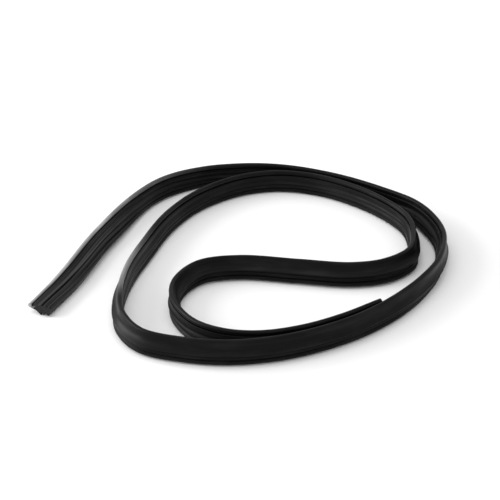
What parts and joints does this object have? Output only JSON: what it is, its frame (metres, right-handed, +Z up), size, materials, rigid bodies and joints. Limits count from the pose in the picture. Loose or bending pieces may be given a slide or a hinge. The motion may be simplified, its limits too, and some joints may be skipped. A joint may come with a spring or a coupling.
{
  "type": "dishwasher door seal",
  "caption": "Extruded black rubber door seal strip with a barbed foot, flared skirts and a round bead, laid in loose loops with two free ends.",
  "frame": {"origin": "on the table, under the middle of the box around the strip", "axes": "+Z up from the table, +X to the right along the longest extent, +Y away from the viewer towards the back of the loops"},
  "size_m": [0.3466, 0.3158, 0.0201],
  "materials": {
    "rubber": "satin"
  },
  "bodies": {
    "root": {"door_seal": "rubber"}
  },
  "joints": []
}
